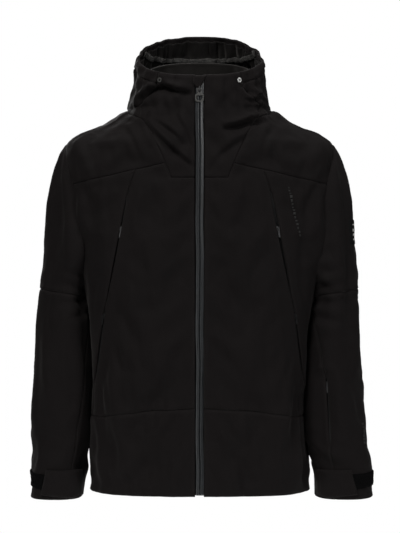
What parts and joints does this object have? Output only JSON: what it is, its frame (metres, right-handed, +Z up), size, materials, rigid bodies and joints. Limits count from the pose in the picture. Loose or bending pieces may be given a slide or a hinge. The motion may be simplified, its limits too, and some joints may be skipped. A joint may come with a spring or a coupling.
{
  "type": "hooded ski jacket",
  "caption": "Padded hooded jacket standing open as if worn, with a full front zip, slanted pocket zips, sleeves that bend and a hood that folds back.",
  "frame": {"origin": "middle of the hanger loop at the back of the neck, inside", "axes": "+Z up, the front faces -Y, the wearer's left arm is on +X"},
  "size_m": [0.681, 0.2835, 0.9362],
  "materials": {
    "shell": "matte woven, black",
    "lining": "smooth woven, black",
    "fleece": "brushed, black",
    "zip_tape": "film-coated, dark grey",
    "zip_metal": "dark, semi-gloss",
    "hook_and_loop": "looped pile, black",
    "elastic": "ribbed, black",
    "label": "woven, black with pale marks",
    "loop_tape": "flat tape, black"
  },
  "bodies": {
    "coat": {"back_hem_panel": "shell", "back_panel": "shell", "back_yoke": "shell", "body_lining": "lining", "chest_pocket_left_zip": "zip_tape", "chest_pocket_right_zip": "zip_tape", "chin_guard_left": "shell", "chin_guard_right": "shell", "front_hem_panel_left": "shell", "front_hem_panel_right": "shell", "front_panel_left": "shell", "front_panel_right": "shell", "front_zip_box": "zip_metal", "front_zip_pin": "zip_metal", "front_zip_tape_left": "zip_tape", "front_zip_tape_right": "zip_tape", "hand_pocket_left_zip": "zip_tape", "hand_pocket_right_zip": "zip_tape", "hanger_loop": "loop_tape", "hood_eyelet_left": "zip_metal", "hood_eyelet_right": "zip_metal", "inner_collar": "fleece", "shoulder_yoke_left": "shell", "shoulder_yoke_right": "shell", "side_panel_left": "shell", "side_panel_right": "shell", "snow_skirt": "lining", "zip_garage": "shell"},
    "hood": {"hood_centre_panel": "shell", "hood_side_left": "shell", "hood_side_right": "shell", "hood_rim_band": "shell", "hood_lining": "lining", "hood_elastic_tape": "elastic"},
    "upper_sleeve_left": {"upper_sleeve_left": "shell", "arm_label": "label"},
    "forearm_left": {"forearm_left": "shell", "cuff_loop_patch_left": "hook_and_loop", "wrist_gaiter_left": "elastic", "forearm_pocket_zip": "zip_tape"},
    "cuff_tab_left": {"cuff_tab_left": "shell"},
    "upper_sleeve_right": {"upper_sleeve_right": "shell"},
    "forearm_right": {"forearm_right": "shell", "cuff_loop_patch_right": "hook_and_loop", "wrist_gaiter_right": "elastic"},
    "cuff_tab_right": {"cuff_tab_right": "shell"},
    "front_zip_slider": {"front_zip_slider": "zip_metal"},
    "front_zip_pull": {"front_zip_pull": "zip_metal"},
    "chest_pocket_left_slider": {"chest_pocket_left_slider": "zip_metal"},
    "chest_pocket_left_pull": {"chest_pocket_left_pull": "zip_metal"},
    "chest_pocket_right_slider": {"chest_pocket_right_slider": "zip_metal"},
    "chest_pocket_right_pull": {"chest_pocket_right_pull": "zip_metal"},
    "hand_pocket_left_slider": {"hand_pocket_left_slider": "zip_metal"},
    "hand_pocket_left_pull": {"hand_pocket_left_pull": "zip_metal"},
    "hand_pocket_right_slider": {"hand_pocket_right_slider": "zip_metal"},
    "hand_pocket_right_pull": {"hand_pocket_right_pull": "zip_metal"},
    "forearm_pocket_slider": {"forearm_pocket_slider": "zip_metal"},
    "forearm_pocket_pull": {"forearm_pocket_pull": "zip_metal"}
  },
  "joints": [
    {"name": "hood_fold", "type": "hinge", "parent": "coat", "child": "hood", "pos_m": [0, 0.028, -0.008], "axis": [-1, 0, 0], "range_deg": [0, 55]},
    {"name": "shoulder_left", "type": "hinge", "parent": "coat", "child": "upper_sleeve_left", "pos_m": [0.252, -0.072, -0.074], "axis": [0, -1, 0], "range_deg": [0, 50]},
    {"name": "elbow_left", "type": "hinge", "parent": "upper_sleeve_left", "child": "forearm_left", "pos_m": [0.272, -0.152, -0.378], "axis": [-1, 0, 0], "range_deg": [0, 60]},
    {"name": "cuff_tab_swing_left", "type": "hinge", "parent": "forearm_left", "child": "cuff_tab_left", "pos_m": [0.239, -0.137, -0.746], "axis": [0, 0, -1], "range_deg": [0, 80]},
    {"name": "shoulder_right", "type": "hinge", "parent": "coat", "child": "upper_sleeve_right", "pos_m": [-0.252, -0.072, -0.074], "axis": [0, 1, 0], "range_deg": [0, 50]},
    {"name": "elbow_right", "type": "hinge", "parent": "upper_sleeve_right", "child": "forearm_right", "pos_m": [-0.272, -0.152, -0.378], "axis": [-1, 0, 0], "range_deg": [0, 60]},
    {"name": "cuff_tab_swing_right", "type": "hinge", "parent": "forearm_right", "child": "cuff_tab_right", "pos_m": [-0.239, -0.137, -0.746], "axis": [0, 0, 1], "range_deg": [0, 80]},
    {"name": "front_zip_run", "type": "slide", "parent": "coat", "child": "front_zip_slider", "axis": [0, -0.0371, -0.9993], "range_m": [0, 0.7591]},
    {"name": "front_zip_pull_swing", "type": "hinge", "parent": "front_zip_slider", "child": "front_zip_pull", "pos_m": [0, -0.20364, 0.02261], "axis": [-1, 0, 0], "range_deg": [0, 160]},
    {"name": "chest_pocket_left_run", "type": "slide", "parent": "coat", "child": "chest_pocket_left_slider", "axis": [0.1957, 0.068, -0.9783], "range_m": [-0.0652, 0.1339]},
    {"name": "chest_pocket_left_pull_swing", "type": "hinge", "parent": "chest_pocket_left_slider", "child": "chest_pocket_left_pull", "pos_m": [0.15283, -0.19488, -0.24742], "axis": [-0.937, -0.2813, -0.207], "range_deg": [0, 150]},
    {"name": "chest_pocket_right_run", "type": "slide", "parent": "coat", "child": "chest_pocket_right_slider", "axis": [-0.1957, 0.068, -0.9783], "range_m": [-0.0652, 0.1339]},
    {"name": "chest_pocket_right_pull_swing", "type": "hinge", "parent": "chest_pocket_right_slider", "child": "chest_pocket_right_pull", "pos_m": [-0.15283, -0.19488, -0.24742], "axis": [-0.937, 0.2813, 0.207], "range_deg": [0, 150]},
    {"name": "hand_pocket_left_run", "type": "slide", "parent": "coat", "child": "hand_pocket_left_slider", "axis": [0.1391, 0.2673, -0.9535], "range_m": [-0.0073, 0.1281]},
    {"name": "hand_pocket_left_pull_swing", "type": "hinge", "parent": "hand_pocket_left_slider", "child": "hand_pocket_left_pull", "pos_m": [0.18763, -0.17679, -0.41649], "axis": [-0.5719, -0.7644, -0.2977], "range_deg": [0, 150]},
    {"name": "hand_pocket_right_run", "type": "slide", "parent": "coat", "child": "hand_pocket_right_slider", "axis": [-0.1391, 0.2673, -0.9535], "range_m": [-0.0073, 0.1281]},
    {"name": "hand_pocket_right_pull_swing", "type": "hinge", "parent": "hand_pocket_right_slider", "child": "hand_pocket_right_pull", "pos_m": [-0.18763, -0.17679, -0.41649], "axis": [-0.5719, 0.7644, 0.2977], "range_deg": [0, 150]},
    {"name": "forearm_pocket_run", "type": "slide", "parent": "forearm_left", "child": "forearm_pocket_slider", "axis": [0, 0.0088, -1], "range_m": [-0.005, 0.1074]},
    {"name": "forearm_pocket_pull_swing", "type": "hinge", "parent": "forearm_pocket_slider", "child": "forearm_pocket_pull", "pos_m": [0.25108, -0.14792, -0.55082], "axis": [-0.8739, 0.4861, 0.0043], "range_deg": [0, 150]}
  ]
}
